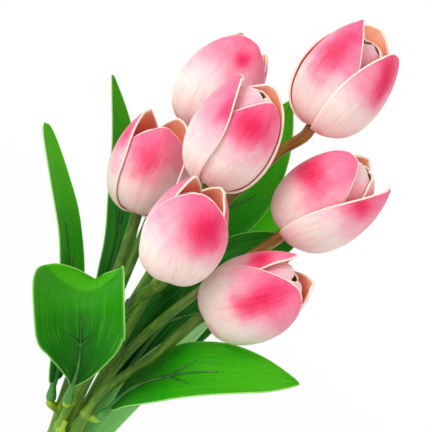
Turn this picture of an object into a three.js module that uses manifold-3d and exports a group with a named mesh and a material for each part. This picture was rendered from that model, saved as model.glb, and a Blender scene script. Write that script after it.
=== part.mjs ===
// A hand-tied bunch of seven artificial tulips: soft moulded petals on plastic stems with a wire
// core, and pressed leaves whose moulded stalks plug onto short pegs of the stems.
// Millimetres, +Z up, standing on the cut ends of the stems.

import * as THREE from 'three';
import { mergeVertices } from 'three/addons/utils/BufferGeometryUtils.js';
import Module from 'manifold-3d';

const wasm = await Module();
wasm.setup();

// Driving dimensions

const fit = 0.3; // clearance between pieces that touch

const stemRadius = 2.4;
const neckRadius = 2.9; // stem just under a head
const neckLength = 6; // straight stretch of stem under a head
const neckTaper = 42; // how far below a head the stem has thinned to its own radius
const wireRadius = 1;
const wireShort = 16; // how far the wire ends below the base of the head
const wireRecess = 0.4; // how far the wire stays inside the cut end
const pinRadius = 2; // spigot on the stem tip that the head is pushed onto
const pinLength = 6.5;
const collarRadius = 3.1;
const collarLength = 3.5;

const tieCentre = [2, 0];
const tieHeight = 75;
const tieWidth = 3;
const tieThickness = 1.2;
const footSpread = 26; // from the middle stem to the others where they stand
const straightAtTie = 7; // straight stretch of stem on each side of the tie
const kneeHeight = 0.45; // share of the tie's height at which a stem bends outwards
const kneeSpread = 0.45; // share of the spread that it has there

const bossRadius = 3.9; // middle of a head, round the spigot
const bossRoof = 1.4;
const petalCount = 3;
const petalThickness = 1.2;
const petalHalfAngle = 75; // degrees of the head's turn that half a petal covers
const petalTipHalfAngle = 14;
const petalTipRoundness = 2;
const petalLean = 18; // degrees that a petal's tip is turned round the head against its foot
const petalLap = 0.85; // how far a lapping edge stands off the middle surface
const petalLapFrom = 0.6; // share of the half width from which the edge has that full offset
const cupThickness = 1.2;
const cupNotch = 9; // depth of the notches between the inner petals
const cupNotchBelow = 0.4; // share of that depth one row below the rim

const pegRadius = 1.3;
const pegLength = 7;
const armRadius = 1.9; // short arm that holds a peg off its stem
const bulbRadius = 2.1; // knuckle where the arm turns into the peg
const socketWall = 1;
const socketLength = 9;
const barePegLength = 4;

const bladeThickness = 0.8;
const bladeHalfWidth = 20;
const bladeTipHalfWidth = 0.8;
const bladeWidestAt = 0.42; // share of the blade's length, unless the leaf says otherwise
const bladeFullness = 0.9; // below 1 the blade's outline is fuller
const ribRadius = 1.1;
const ribTipRadius = 0.5;
const ribReach = 0.62; // share of the blade's length
const veinStart = 0.36; // share of the blade's length
const veinReach = 0.15; // share of the blade's length
const veinSpread = 0.42; // share of the blade's half width
const veinRadius = 0.5;

// Profile of a head, from the boss to the petal tips: radius and height of the middle surface.
const headProfile = [
  [bossRadius + fit, 0], [10, 0.9], [15.2, 4.4], [19, 10.5], [21.1, 19], [21.2, 27],
  [19.6, 36], [16.2, 45], [12.2, 51.5], [9.4, 55.3],
];
// Profile of the bud that the inner petals make, outside surface.
const cupProfile = [
  [bossRadius, 2.6], [8, 4.8], [12.4, 8.8], [15.5, 15], [16.8, 23], [16.5, 31], [14.4, 39],
  [10.8, 46], [6.4, 51.5],
];

// Each flower: where its head sits, which way the head looks, the head's size against the profile,
// how high the bud inside it stands, the points that its stem passes on the way up, the turn of its
// first petal, which way round the petals lap, how far the tip of the first petal stands out, and
// the share of their length up to which the petals keep their full width.
const flowers = [
  { name: 'a', slot: 115, base: [-40.4, 42, 243.9], axis: [-0.02, 0.14, 0.99], size: 0.97, bud: 0.95,
    way: [[-9, 15, 116], [-25, 34, 176]], turn: -77, order: 1, open: 1, full: 0.4 },
  { name: 'b', slot: null, base: [-16.7, -15, 236.2], axis: [-0.1, -0.17, 0.98], size: 0.96, bud: 1,
    way: [[-6, -2, 122]], turn: 176, order: -1, open: 2, full: 0.45 },
  { name: 'c', slot: 55, base: [7.6, 6, 285], axis: [-0.03, -0.02, 1], size: 1, bud: 0.93,
    way: [[-1, 8, 123], [-8, 10, 194], [-2, 10, 238], [3, 8, 266]],
    turn: -12, order: 1, open: 1.5, full: 0.25 },
  { name: 'd', slot: 175, base: [-36.2, 15, 198], axis: [-0.33, -0.1, 0.94], size: 0.9, bud: 0.88,
    way: [[-13, 6, 110], [-27, 14, 170]], turn: 150, order: -1, open: 1, full: 0.45 },
  { name: 'e', slot: 235, base: [-6, -40, 193.2], axis: [-0.17, -0.24, 0.95], size: 0.88, bud: 0.92,
    way: [[-6, -9, 109], [-11, -20, 150], [-9, -31, 175]], turn: -65, order: 1, open: 1, full: 0.5 },
  { name: 'f', slot: 355, base: [28.6, 2, 236.1], axis: [0.25, -0.11, 0.96], size: 0.97, bud: 1,
    way: [[2, 2, 127], [4, 1, 152], [12, 1, 186]], turn: -30, order: -1, open: 4, full: 0.25 },
  { name: 'g', slot: 295, base: [22.6, -20, 185.7], axis: [0.46, -0.22, 0.86], size: 0.94, bud: 0.97,
    way: [[4, -8, 94], [5, -13, 123], [14, -18, 153]], turn: -92, order: -1, open: 1.5, full: 0.3 },
];

// Each leaf: the stem and height of its peg, the compass direction of the arm, the points that
// its midrib passes, the way across the blade at the base and at the tip (its upper side looks
// towards across x along), how far its edges stand up, its width as a share of the broadest, how
// slender its outline is towards both ends, and where it is widest if that isn't the usual place.
const leaves = [
  { name: '1', stem: 'd', height: 96, arm: -150, cup: 2, broad: 0.62, slim: 0.45,
    way: [[-29, -3, 128], [-43, 1, 152], [-59, 4, 171], [-81, 4, 192], [-98, 4, 207]],
    across: [[0.26, 0.93, 0.12], [0.26, 0.93, 0.12]] },
  { name: '2', stem: 'a', height: 127, arm: 140, cup: 3, broad: 0.62, slim: 1,
    way: [[-29, 37, 155], [-39, 44, 176], [-51, 47, 195], [-70, 48, 219], [-89, 45, 240]],
    across: [[0.45, 0.85, 0.3], [0.45, 0.85, 0.3]] },
  { name: '3', stem: 'e', height: 106, arm: -100, cup: 13, broad: 1.06, slim: 0.65, widest: 0.7,
    way: [[-13, -27, 128], [-19.5, -34, 141.5], [-25, -40, 151], [-27.5, -42, 156], [-30, -37.5, 158.5],
      [-31, -28, 161], [-31.5, -19, 165]],
    across: [[0.78, 0.1, 0.62], [0.75, 0.1, 0.66]] },
  { name: '4', stem: 'g', height: 106, arm: 5, cup: 2, broad: 1, slim: 1,
    way: [[16, -19, 134], [24, -27, 149], [35, -34, 163], [54, -35, 177], [76, -27, 186]],
    across: [[0.14, -0.77, -0.45], [0.14, -0.77, -0.45]] },
  { name: '5', stem: 'f', height: 58, arm: 10, cup: 2, broad: 0.44, slim: 1.1,
    way: [[15, 1, 84], [13, 2, 97], [13, 2, 111], [15, 3, 128], [18, 2, 148], [22, -2, 167],
      [26, -4, 180]],
    across: [[-0.9, 0.4, 0.2], [-0.9, 0.2, 0.3]] },
  { name: '6', stem: 'c', height: 176, arm: 120, cup: -2, broad: 0.9, slim: 1,
    way: [[-10, 27, 196], [-6, 29, 211], [-2, 30, 230], [-3, 30, 256], [-8, 30, 286]],
    across: [[0.98, 0.1, 0], [0.98, 0.1, 0]] },
  { name: '7', stem: 'c', height: 104, arm: 50, cup: -2, broad: 0.95, slim: 0.8, widest: 0.35,
    way: [[8, 14, 127], [8, 16, 142], [9, 17, 158], [14, 17, 181], [21, 16, 212], [36, 17, 234]],
    across: [[0.92, -0.06, -0.28], [0.92, -0.06, -0.28]] },
  { name: '8', stem: 'a', height: 150, arm: 40, cup: -2, broad: 0.8, slim: 1,
    way: [[-1, 41, 171], [6, 48, 191], [15, 52, 211], [21, 52, 232], [28, 48, 252]],
    across: [[0.95, 0, -0.2], [0.95, 0, -0.2]] },
];
// A peg that has lost its leaf.
const barePeg = { stem: 'e', height: 91, arm: -70 };

// Mesh fineness
const stemSides = 8;
const stemStep = 21; // longest stretch between two rings
const wireSides = 5;
const ribSides = 5;
const roundSides = 8;
const tieSides = 36;
const petalRows = 6;
const cupSteps = 12;
const cupRows = 6;
const bladeRows = 10;
const petalColumns = [-1, -0.8, -0.6, -0.2, 0.2, 0.6, 0.8, 1];
const bladeColumns = [-1, -0.5, 0, 0.5, 1];
const mergeDistance = 1e-4; // points closer than this are one
const halvings = 40; // when a height on a stem is looked up

// Materials
const material = (color, roughness) => new THREE.MeshStandardMaterial({ color, roughness, metalness: 0 });
const stemGreen = material('#7f8f2c', 0.45);
const petalPink = material('#ee6f95', 0.6);
const petalCream = material('#f6d3cf', 0.6);
const leafGreen = material('#2f9a1c', 0.4);
const ribGreen = material('#2c6b2a', 0.45);
const tieClear = material('#dfe3da', 0.3);
const wireSteel = new THREE.MeshStandardMaterial({ color: '#8b8d8f', roughness: 0.4, metalness: 0.9 });

const up = new THREE.Vector3(0, 0, 1);
const vector = (list) => new THREE.Vector3(...list);
const radians = THREE.MathUtils.degToRad;
const compass = (degrees) => new THREE.Vector3(Math.cos(radians(degrees)), Math.sin(radians(degrees)), 0);

// Closed solids from rows of points

function solidGeometry(points, faces) {
  const geometry = new THREE.BufferGeometry();
  const numbers = points.flatMap((p) => [p.x, p.y, p.z]);
  geometry.setAttribute('position', new THREE.Float32BufferAttribute(numbers, 3));
  geometry.setIndex(faces.flat());
  return geometry;
}

// Rings of equal count, first to last, closed at both ends.
function ringSolid(rings) {
  const count = rings[0].length;
  const points = rings.flat();
  const faces = [];
  for (let row = 0; row + 1 < rings.length; row += 1) {
    for (let column = 0; column < count; column += 1) {
      const a = row * count + column;
      const b = row * count + (column + 1) % count;
      faces.push([a, b, b + count], [a, b + count, a + count]);
    }
  }
  for (const [row, turned] of [[0, true], [rings.length - 1, false]]) {
    const centre = new THREE.Vector3();
    rings[row].forEach((p) => centre.addScaledVector(p, 1 / count));
    const middle = points.push(centre) - 1;
    for (let column = 0; column < count; column += 1) {
      const a = row * count + column;
      const b = row * count + (column + 1) % count;
      faces.push(turned ? [b, a, middle] : [a, b, middle]);
    }
  }
  return solidGeometry(points, faces);
}

// A thin sheet: grid[row][column] holds a point on the middle surface and the way out of it.
function sheetSolid(grid, thickness) {
  const across = grid[0].length;
  const outline = [];
  for (let column = 0; column < across; column += 1) outline.push([0, column]);
  for (let row = 1; row < grid.length; row += 1) outline.push([row, across - 1]);
  for (let column = across - 2; column >= 0; column -= 1) outline.push([grid.length - 1, column]);
  for (let row = grid.length - 2; row > 0; row -= 1) outline.push([row, 0]);
  const cells = grid.flat();
  const front = cells.map(({ point, out }) => point.clone().addScaledVector(out, thickness / 2));
  const back = cells.map(({ point, out }) => point.clone().addScaledVector(out, -thickness / 2));
  const faces = [];
  const size = cells.length;
  for (let row = 0; row + 1 < grid.length; row += 1) {
    for (let column = 0; column + 1 < across; column += 1) {
      const a = row * across + column;
      const [b, c, d] = [a + 1, a + 1 + across, a + across];
      faces.push([a, b, c], [a, c, d], [size + a, size + c, size + b], [size + a, size + d, size + c]);
    }
  }
  outline.forEach(([row, column], index) => {
    const [nextRow, nextColumn] = outline[(index + 1) % outline.length];
    const a = row * across + column;
    const b = nextRow * across + nextColumn;
    faces.push([b, a, size + a], [b, size + a, size + b]);
  });
  return solidGeometry([...front, ...back], faces);
}

// A tube with a ring round each point of a line, square to the line there.
function lineTube(points, sides, radiusAt) {
  let side = new THREE.Vector3(1, 0, 0);
  const rings = points.map((point, index) => {
    const before = points[Math.max(0, index - 1)];
    const after = points[Math.min(points.length - 1, index + 1)];
    const along = after.clone().sub(before).normalize();
    side = side.clone().addScaledVector(along, -side.dot(along)).normalize();
    const other = new THREE.Vector3().crossVectors(along, side);
    const ring = [];
    for (let step = 0; step < sides; step += 1) {
      const angle = (step / sides) * 2 * Math.PI;
      ring.push(point.clone()
        .addScaledVector(side, radiusAt(index) * Math.cos(angle))
        .addScaledVector(other, radiusAt(index) * Math.sin(angle)));
    }
    return ring;
  });
  return ringSolid(rings);
}

function rod(from, to, radius, sides = roundSides) {
  return lineTube([from, to], sides, () => radius);
}

function ball(centre, radius) {
  const round = new THREE.SphereGeometry(radius, roundSides, roundSides / 2);
  return round.translate(centre.x, centre.y, centre.z);
}

// Joining and cutting

function toManifold(geometry) {
  const bare = geometry.clone();
  bare.deleteAttribute('normal');
  bare.deleteAttribute('uv');
  const merged = mergeVertices(bare, mergeDistance);
  return new wasm.Manifold(new wasm.Mesh({
    numProp: 3,
    vertProperties: new Float32Array(merged.attributes.position.array),
    triVerts: new Uint32Array(merged.index.array),
  }));
}

function fromManifold(solid) {
  const mesh = solid.getMesh();
  const geometry = new THREE.BufferGeometry();
  geometry.setAttribute('position', new THREE.BufferAttribute(new Float32Array(mesh.vertProperties), 3));
  geometry.setIndex(Array.from(mesh.triVerts));
  return geometry;
}

function joinAndCut(joined, cutters) {
  let solid = toManifold(joined[0]);
  for (const geometry of joined.slice(1)) solid = solid.add(toManifold(geometry));
  for (const geometry of cutters) solid = solid.subtract(toManifold(geometry));
  return fromManifold(solid);
}

function belowHeight(height) {
  const size = 4 * footSpread;
  return new THREE.BoxGeometry(size, size, size).translate(...tieCentre, height - size / 2);
}

// Stems

const socketRadius = pegRadius + fit + socketWall;
const slotCircle = 2 * stemRadius + 2 * fit;
const armLength = collarRadius + fit + socketRadius;

function stemCurve(flower) {
  const side = flower.slot === null ? new THREE.Vector3() : compass(flower.slot);
  const middle = new THREE.Vector3(...tieCentre, 0);
  const slot = middle.clone().addScaledVector(side, slotCircle);
  const foot = middle.clone().addScaledVector(side, footSpread);
  const axis = vector(flower.axis).normalize();
  const base = vector(flower.base);
  const atHeight = (place, height) => place.clone().setZ(height);
  const lift = (distance) => base.clone().addScaledVector(axis, distance);
  return new THREE.CatmullRomCurve3([
    atHeight(foot.clone().addScaledVector(side, stemRadius), -2 * stemRadius),
    atHeight(slot.clone().lerp(foot, kneeSpread), tieHeight * kneeHeight),
    atHeight(slot, tieHeight - straightAtTie),
    atHeight(slot, tieHeight),
    atHeight(slot, tieHeight + straightAtTie),
    ...flower.way.map(vector),
    lift(-neckLength),
    lift(-fit),
  ], false, 'centripetal');
}

function stationAtHeight(curve, height) {
  let [low, high] = [0, 1];
  for (let round = 0; round < halvings; round += 1) {
    const middle = (low + high) / 2;
    if (curve.getPointAt(middle).z < height) low = middle;
    else high = middle;
  }
  return low;
}

const curves = Object.fromEntries(flowers.map((flower) => [flower.name, stemCurve(flower)]));

// Where a peg stands: root on the stem's middle line, elbow at the end of the arm.
function pegPlace({ stem, height, arm }) {
  const station = stationAtHeight(curves[stem], height);
  const root = curves[stem].getPointAt(station);
  const along = curves[stem].getTangentAt(station);
  const side = compass(arm);
  side.addScaledVector(along, -side.dot(along)).normalize();
  return { root, along, elbow: root.clone().addScaledVector(side, armLength) };
}

function legPieces(place, tip) {
  return [
    rod(place.root, place.elbow, armRadius),
    ball(place.elbow, bulbRadius),
    rod(place.elbow, tip, pegRadius),
    rod(
      place.root.clone().addScaledVector(place.along, -collarLength / 2),
      place.root.clone().addScaledVector(place.along, collarLength / 2),
      collarRadius,
    ),
  ];
}

function stemGeometry(flower) {
  const curve = curves[flower.name];
  const axis = vector(flower.axis).normalize();
  const base = vector(flower.base);
  const corners = stemCorners(curve);
  const radiusAt = (distance) => {
    const slim = THREE.MathUtils.smoothstep(distance, 0, neckTaper);
    return neckRadius + (stemRadius - neckRadius) * slim;
  };
  const onAxis = (distance) => base.clone().addScaledVector(axis, distance);
  const joined = [
    lineTube(corners, stemSides, (index) => radiusAt(corners[index].distanceTo(base))),
    rod(onAxis(-fit - pinRadius), onAxis(pinLength), pinRadius),
  ];
  for (const leaf of leaves.filter(({ stem }) => stem === flower.name)) {
    const place = pegPlace(leaf);
    joined.push(...legPieces(place, leafStart(leaf).pegTip));
  }
  if (barePeg.stem === flower.name) {
    const place = pegPlace(barePeg);
    const tip = place.elbow.clone().addScaledVector(place.along, bulbRadius + barePegLength);
    joined.push(...legPieces(place, tip));
  }
  const bore = lineTube(wireLine(curve, wireShort - fit), wireSides, () => wireRadius + fit);
  return joinAndCut(joined, [bore, belowHeight(0)]);
}

// The corner points of a stem's tube: each point that it passes, and steps between them.
function stemCorners(curve) {
  const spans = curve.points.length - 1;
  const corners = [curve.points[0]];
  for (let span = 0; span < spans; span += 1) {
    const steps = Math.ceil(curve.points[span].distanceTo(curve.points[span + 1]) / stemStep);
    for (let step = 1; step <= steps; step += 1) {
      corners.push(curve.getPoint((span + step / steps) / spans));
    }
  }
  return corners;
}

// The wire's line: the stem's own corner points, cut off at a distance below the stem's top.
function wireLine(curve, short) {
  const corners = stemCorners(curve);
  let top = corners.pop();
  let left = short;
  while (top.distanceTo(corners.at(-1)) < left) {
    left -= top.distanceTo(corners.at(-1));
    top = corners.pop();
  }
  const last = corners.at(-1);
  return [...corners, top.clone().lerp(last, left / top.distanceTo(last))];
}

function wireGeometry(flower) {
  const wire = lineTube(wireLine(curves[flower.name], wireShort), wireSides, () => wireRadius);
  return joinAndCut([wire], [belowHeight(wireRecess)]);
}

function tieGeometry() {
  const inner = slotCircle + stemRadius + fit;
  const outline = [
    [inner, -tieWidth / 2], [inner + tieThickness, -tieWidth / 2],
    [inner + tieThickness, tieWidth / 2], [inner, tieWidth / 2], [inner, -tieWidth / 2],
  ].map(([radius, height]) => new THREE.Vector2(radius, height));
  return new THREE.LatheGeometry(outline, tieSides).rotateX(Math.PI / 2).translate(...tieCentre, tieHeight);
}

// Heads

// Point and outward direction at a share of a profile's length.
function alongProfile(profile, share) {
  const curve = new THREE.SplineCurve(profile.map(([radius, height]) => new THREE.Vector2(radius, height)));
  const point = curve.getPointAt(share);
  const tangent = curve.getTangentAt(share);
  return { radius: point.x, height: point.y, outRadius: tangent.y, outHeight: -tangent.x };
}

// A profile at a head's own size. The first point stays, because it meets the boss.
function sized(profile, across, up) {
  const grown = profile.map(([radius, height]) => [radius * across, height * up]);
  return [profile[0], ...grown.slice(1)];
}

function petalGeometry(profile, middle, lean, leftLap, rightLap, open, full) {
  const grid = [];
  for (let row = 0; row <= petalRows; row += 1) {
    const share = row / petalRows;
    const place = alongProfile(profile, share);
    const pastFull = Math.max(0, (share - full) / (1 - full));
    const taper = Math.sqrt(1 - pastFull ** petalTipRoundness);
    const halfAngle = petalTipHalfAngle + (petalHalfAngle - petalTipHalfAngle) * taper;
    const line = petalColumns.map((column) => {
      const angle = radians(middle + halfAngle * column - lean * share);
      const lapShare = Math.min(Math.abs(column) / petalLapFrom, 1);
      const lap = petalLap * lapShare * (column < 0 ? leftLap : rightLap);
      const radius = place.radius + lap * place.outRadius + open * share ** 2;
      const height = place.height + lap * place.outHeight;
      return {
        point: new THREE.Vector3(radius * Math.cos(angle), radius * Math.sin(angle), height),
        out: new THREE.Vector3(
          place.outRadius * Math.cos(angle), place.outRadius * Math.sin(angle), place.outHeight),
      };
    });
    grid.push(line);
  }
  return sheetSolid(grid, petalThickness);
}

// The inner petals in one moulding, with the boss and its blind socket.
function cupGeometry(profile, turn) {
  const ring = (radius, height, notch) => {
    const points = [];
    for (let step = 0; step < cupSteps; step += 1) {
      const angle = (step / cupSteps) * 2 * Math.PI;
      const betweenPetals = (1 - Math.cos(petalCount * (angle - radians(turn)))) / 2;
      const rise = height - notch * betweenPetals ** 2;
      points.push(new THREE.Vector3(radius * Math.cos(angle), radius * Math.sin(angle), rise));
    }
    return points;
  };
  const notches = { [cupRows]: cupNotch, [cupRows - 1]: cupNotch * cupNotchBelow };
  const outside = [ring(bossRadius, 0, 0)];
  const inside = [];
  for (let row = 0; row <= cupRows; row += 1) {
    const { radius, height, outRadius, outHeight } = alongProfile(profile, row / cupRows);
    const notch = notches[row] ?? 0;
    outside.push(ring(radius, height, notch));
    if (row > 1) {
      inside.unshift(ring(radius - cupThickness * outRadius, height - cupThickness * outHeight, notch));
    }
  }
  const roof = pinLength + fit + bossRoof;
  inside.push(ring(bossRadius, roof, 0));
  const shell = ringSolid([...outside, ...inside]);
  const socket = rod(vector([0, 0, -fit]), vector([0, 0, pinLength + fit]), pinRadius + fit);
  return joinAndCut([shell], [socket]);
}

function addHead(bouquet, flower) {
  const head = new THREE.Group();
  head.position.set(...flower.base);
  head.quaternion.setFromUnitVectors(up, vector(flower.axis).normalize());
  const lapPairs = [[1, 1], [-1, 1], [-1, -1]];
  lapPairs.forEach(([nearLap, farLap], index) => {
    const middle = flower.turn + flower.order * index * (360 / petalCount);
    const laps = flower.order > 0 ? [nearLap, farLap] : [farLap, nearLap];
    const open = index === 0 ? flower.open : 0;
    const profile = sized(headProfile, flower.size, flower.size);
    const lean = flower.order * petalLean;
    const shape = petalGeometry(profile, middle, lean, ...laps, open, flower.full);
    head.add(named(`petal_${flower.name}${index + 1}`, shape, petalPink));
  });
  const betweenOuter = flower.turn + 180 / petalCount;
  const cup = cupGeometry(sized(cupProfile, flower.size, flower.size * flower.bud), betweenOuter);
  head.add(named(`inner_petals_${flower.name}`, cup, petalCream));
  bouquet.add(head);
}

// Leaves

// Where a leaf begins: the peg's tip, and both ends of the socket that is pushed over the peg.
function leafStart(leaf) {
  const { elbow } = pegPlace(leaf);
  const along = vector(leaf.way[0]).sub(elbow).normalize();
  const at = (distance) => elbow.clone().addScaledVector(along, distance);
  const mouth = bulbRadius + fit;
  const end = mouth + socketLength;
  return {
    elbow, along, pegTip: at(mouth + pegLength), mouth: at(mouth), end: at(end), bladeRoot: at(end + fit),
  };
}

// Frame of the midrib at a share of its length: place, way across, way out of the upper side.
function leafFrames(leaf) {
  const line = [leafStart(leaf).bladeRoot, ...leaf.way.map(vector)];
  const curve = new THREE.CatmullRomCurve3(line, false, 'centripetal');
  const frames = [];
  for (let row = 0; row <= bladeRows; row += 1) {
    const share = row / bladeRows;
    const along = curve.getTangentAt(share);
    const across = vector(leaf.across[0]).lerp(vector(leaf.across[1]), share);
    across.addScaledVector(along, -across.dot(along)).normalize();
    const out = new THREE.Vector3().crossVectors(across, along);
    const halfWidth = halfWidthAt(share, leaf) * leaf.broad;
    frames.push({ point: curve.getPointAt(share), across, out, halfWidth });
  }
  return frames;
}

// Half width of a blade before its own broadness: slim at the stalk, pointed at the tip.
function halfWidthAt(share, { slim, widest = bladeWidestAt }) {
  const power = widest / (1 - widest);
  const rise = (share / widest) ** power * ((1 - share) / (1 - widest));
  return bladeTipHalfWidth + (bladeHalfWidth - bladeTipHalfWidth) * rise ** (bladeFullness * slim);
}

function bladePoint(frame, leaf, column, stand) {
  const edge = leaf.cup * column ** 2 * frame.halfWidth / bladeHalfWidth;
  return frame.point.clone()
    .addScaledVector(frame.across, column * frame.halfWidth)
    .addScaledVector(frame.out, edge + stand);
}

function bladeGeometry(leaf) {
  const grid = leafFrames(leaf).map((frame) => bladeColumns.map((column) => ({
    point: bladePoint(frame, leaf, column, 0), out: frame.out })));
  return sheetSolid(grid, bladeThickness);
}

function frameAt(frames, share) {
  const row = Math.min(Math.floor(share * bladeRows), bladeRows - 1);
  const part = share * bladeRows - row;
  const [a, b] = [frames[row], frames[row + 1]];
  return {
    point: a.point.clone().lerp(b.point, part),
    across: a.across.clone().lerp(b.across, part),
    out: a.out.clone().lerp(b.out, part),
    halfWidth: a.halfWidth + (b.halfWidth - a.halfWidth) * part,
  };
}

function ribGeometry(leaf) {
  const start = leafStart(leaf);
  const frames = leafFrames(leaf);
  const stand = bladeThickness / 2 + fit;
  const rows = Math.round(ribReach * bladeRows);
  const radiusAt = (share) => ribRadius + (ribTipRadius - ribRadius) * share;
  const line = frames.slice(0, rows + 1)
    .map((frame, row) => bladePoint(frame, leaf, 0, stand + radiusAt(row / rows)));
  const begin = line[0].clone().addScaledVector(start.along, -ribRadius - fit);
  const joined = [
    rod(start.mouth, start.end, socketRadius),
    lineTube([begin, ...line], ribSides, (index) => radiusAt(Math.max(0, index - 1) / rows)),
  ];
  for (const side of [-1, 1]) {
    const from = bladePoint(frameAt(frames, veinStart), leaf, 0, stand + radiusAt(veinStart / ribReach));
    const to = bladePoint(
      frameAt(frames, veinStart + veinReach), leaf, side * veinSpread, stand + 2 * veinRadius);
    joined.push(rod(from, to, veinRadius, ribSides));
  }
  const bore = rod(
    start.elbow, start.pegTip.clone().addScaledVector(start.along, fit), pegRadius + fit);
  return joinAndCut(joined, [bore]);
}

// The bouquet

function named(name, geometry, look) {
  const mesh = new THREE.Mesh(geometry, look);
  mesh.name = name;
  return mesh;
}

const bouquet = new THREE.Group();
for (const flower of flowers) {
  bouquet.add(named(`stem_${flower.name}`, stemGeometry(flower), stemGreen));
  bouquet.add(named(`wire_${flower.name}`, wireGeometry(flower), wireSteel));
  addHead(bouquet, flower);
}
for (const leaf of leaves) {
  bouquet.add(named(`leaf_${leaf.name}`, bladeGeometry(leaf), leafGreen));
  bouquet.add(named(`leaf_rib_${leaf.name}`, ribGeometry(leaf), ribGreen));
}
bouquet.add(named('tie', tieGeometry(), tieClear));

// The origin is on the floor, below the middle of the whole bunch.
const middle = new THREE.Box3().setFromObject(bouquet).getCenter(new THREE.Vector3());
bouquet.position.set(-middle.x, -middle.y, 0);

export default bouquet;
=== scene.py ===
"""A hand-tied bunch of seven artificial tulips: the looks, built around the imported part.

Soft foam petals sprayed pink over cream, plastic stems with plug-on leaves, and an elastic tie.
Sizes and places are in millimetres, as in the part's source; Shape.piece turns them into metres.
"""

import math
from dataclasses import dataclass

import bpy
import numpy as np
from mathutils import Matrix, Vector, noise


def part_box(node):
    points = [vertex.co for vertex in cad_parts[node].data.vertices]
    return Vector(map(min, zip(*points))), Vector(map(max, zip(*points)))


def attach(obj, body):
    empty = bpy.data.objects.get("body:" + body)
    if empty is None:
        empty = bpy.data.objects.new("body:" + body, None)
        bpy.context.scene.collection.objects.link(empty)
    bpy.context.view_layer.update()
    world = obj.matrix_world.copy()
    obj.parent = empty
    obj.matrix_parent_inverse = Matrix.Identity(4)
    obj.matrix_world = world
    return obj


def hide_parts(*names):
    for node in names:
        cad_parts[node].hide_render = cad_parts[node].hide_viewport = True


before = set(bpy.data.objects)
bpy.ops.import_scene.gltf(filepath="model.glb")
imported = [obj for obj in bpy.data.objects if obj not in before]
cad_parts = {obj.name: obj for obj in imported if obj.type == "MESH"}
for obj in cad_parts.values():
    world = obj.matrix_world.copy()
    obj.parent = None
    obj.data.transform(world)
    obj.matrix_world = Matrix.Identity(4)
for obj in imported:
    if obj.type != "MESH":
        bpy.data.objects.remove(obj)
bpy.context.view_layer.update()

MM = 0.001

# Stems
FIT = 0.3  # clearance between pieces that touch
STEM_RADIUS = 2.4
STEM_RIPPLE = 0.05
STEM_RIPPLES = 60  # how often the ripple changes along a stem
NECK_RADIUS = 2.9
NECK_LENGTH = 6
NECK_TAPER = 42
WIRE_RADIUS = 1.0
BORE_DEPTH = 9
COLLAR_RADIUS = 3.1
COLLAR_LENGTH = 3.5
COLLAR_FLANK = 1.6
COLLAR_PALE = 0.5  # how far a collar turns to the pale green of the mouldings
FOOT_PALE = 0.4
PIN_RADIUS = 2
PIN_TIP_RADIUS = 1.6
PIN_LENGTH = 6.5
PIN_TIP_LENGTH = 0.5
PIN_ROOT = 2.3  # how far the pin reaches down into the stem
TIE_CENTRE = (2, 0)
TIE_HEIGHT = 75
TIE_WIDTH = 3
TIE_THICKNESS = 1.2
TIE_EDGE_RADIUS = 0.35
FOOT_SPREAD = 26
STRAIGHT_AT_TIE = 7
KNEE_HEIGHT = 0.45
KNEE_SPREAD = 0.45
SLOT_CIRCLE = 2 * STEM_RADIUS + 2 * FIT

# Pegs and sockets of the leaves
PEG_RADIUS = 1.3
PEG_LENGTH = 7
PEG_FOOT = 0.5  # straight stretch of the peg at its foot
PEG_TIP = 0.7  # share of its radius that the peg has at its tip
PEG_THINS_FROM = 1.2  # past the elbow
PEG_THINS_OVER = 1.6
ARM_RADIUS = 1.9
ARM_DROP = 3  # how far below the elbow's root the arm starts inside the stem
ARM_OUT = 2.2
ARM_PALES_OVER = 0.4  # share of the arm over which it turns pale
ELBOW_ROUND = 1.2
ELBOW_RISE = 0.8
BULB_RADIUS = 2.3
BULB_LENGTH = 2.2
SOCKET_WALL = 1
SOCKET_RADIUS = PEG_RADIUS + FIT + SOCKET_WALL
SOCKET_LENGTH = 9
SOCKET_TAPER = 0.9
SOCKET_TAPER_RUN = (-0.3, 1.1)  # the taper starts at 0 and is full at 1
SOCKET_LIP = 0.25
BARE_PEG_LENGTH = 4
ARM_LENGTH = COLLAR_RADIUS + FIT + SOCKET_RADIUS

# Heads
BOSS_RADIUS = 3.9
BOSS_HEIGHT = 8.2
BOSS_FOOT_EDGE = 0.4
BOSS_TOP_EDGE = 0.6
PETAL_THICKNESS = 1.2
PETAL_STEP = 120  # degrees from one petal to the next
PETAL_LAPS = [(1, 1), (-1, 1), (-1, -1)]  # which edges lie outside (1) or inside (-1) a neighbour
PETAL_HALF_ANGLE = 75  # degrees of the head's turn that half a petal covers
PETAL_TIP_ROUNDNESS = 2
PETAL_TIP_DROP = 0.09  # how far the rim falls off beside the tip
PETAL_LAP = 0.85  # how far a lapping edge stands off the middle surface
PETAL_LAP_FROM = 0.6
PETAL_LEAN = 18  # degrees that a petal's tip is turned round the head against its foot
RIM_WAVE = 2.2  # degrees that the uneven rim wanders, for a wave of 1
RIM_SCALE = 2.3
RIM_SEED = 7.1
DENT_DEPTH = 0.25  # unevenness of a petal's middle
CREASE_WIDTH = 0.05  # share of the petal's half width
CREASE_TO = 0.85  # share of the petal's length
CREASE_FADE = 0.3
SPOT_FALL = 0.7  # below 1 the crimson patch is peaked and fades far out
BUD_WAVE = 0.3
BUD_STEP = 0.02  # how much shorter each next petal of the bud is
BUD_SEED = 10
INNER_THICKNESS = 1.1
INNER_HALF_ANGLE = 80
INNER_FULL_TO = 0.85
INNER_LAP = 0.75
HEAD_PROFILE = [
    (4.2, 0), (10, 0.9), (15.2, 4.4), (19, 10.5), (21.1, 19), (21.2, 27),
    (19.6, 36), (16.2, 45), (12.2, 51.5), (9.4, 55.3),
]
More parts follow.
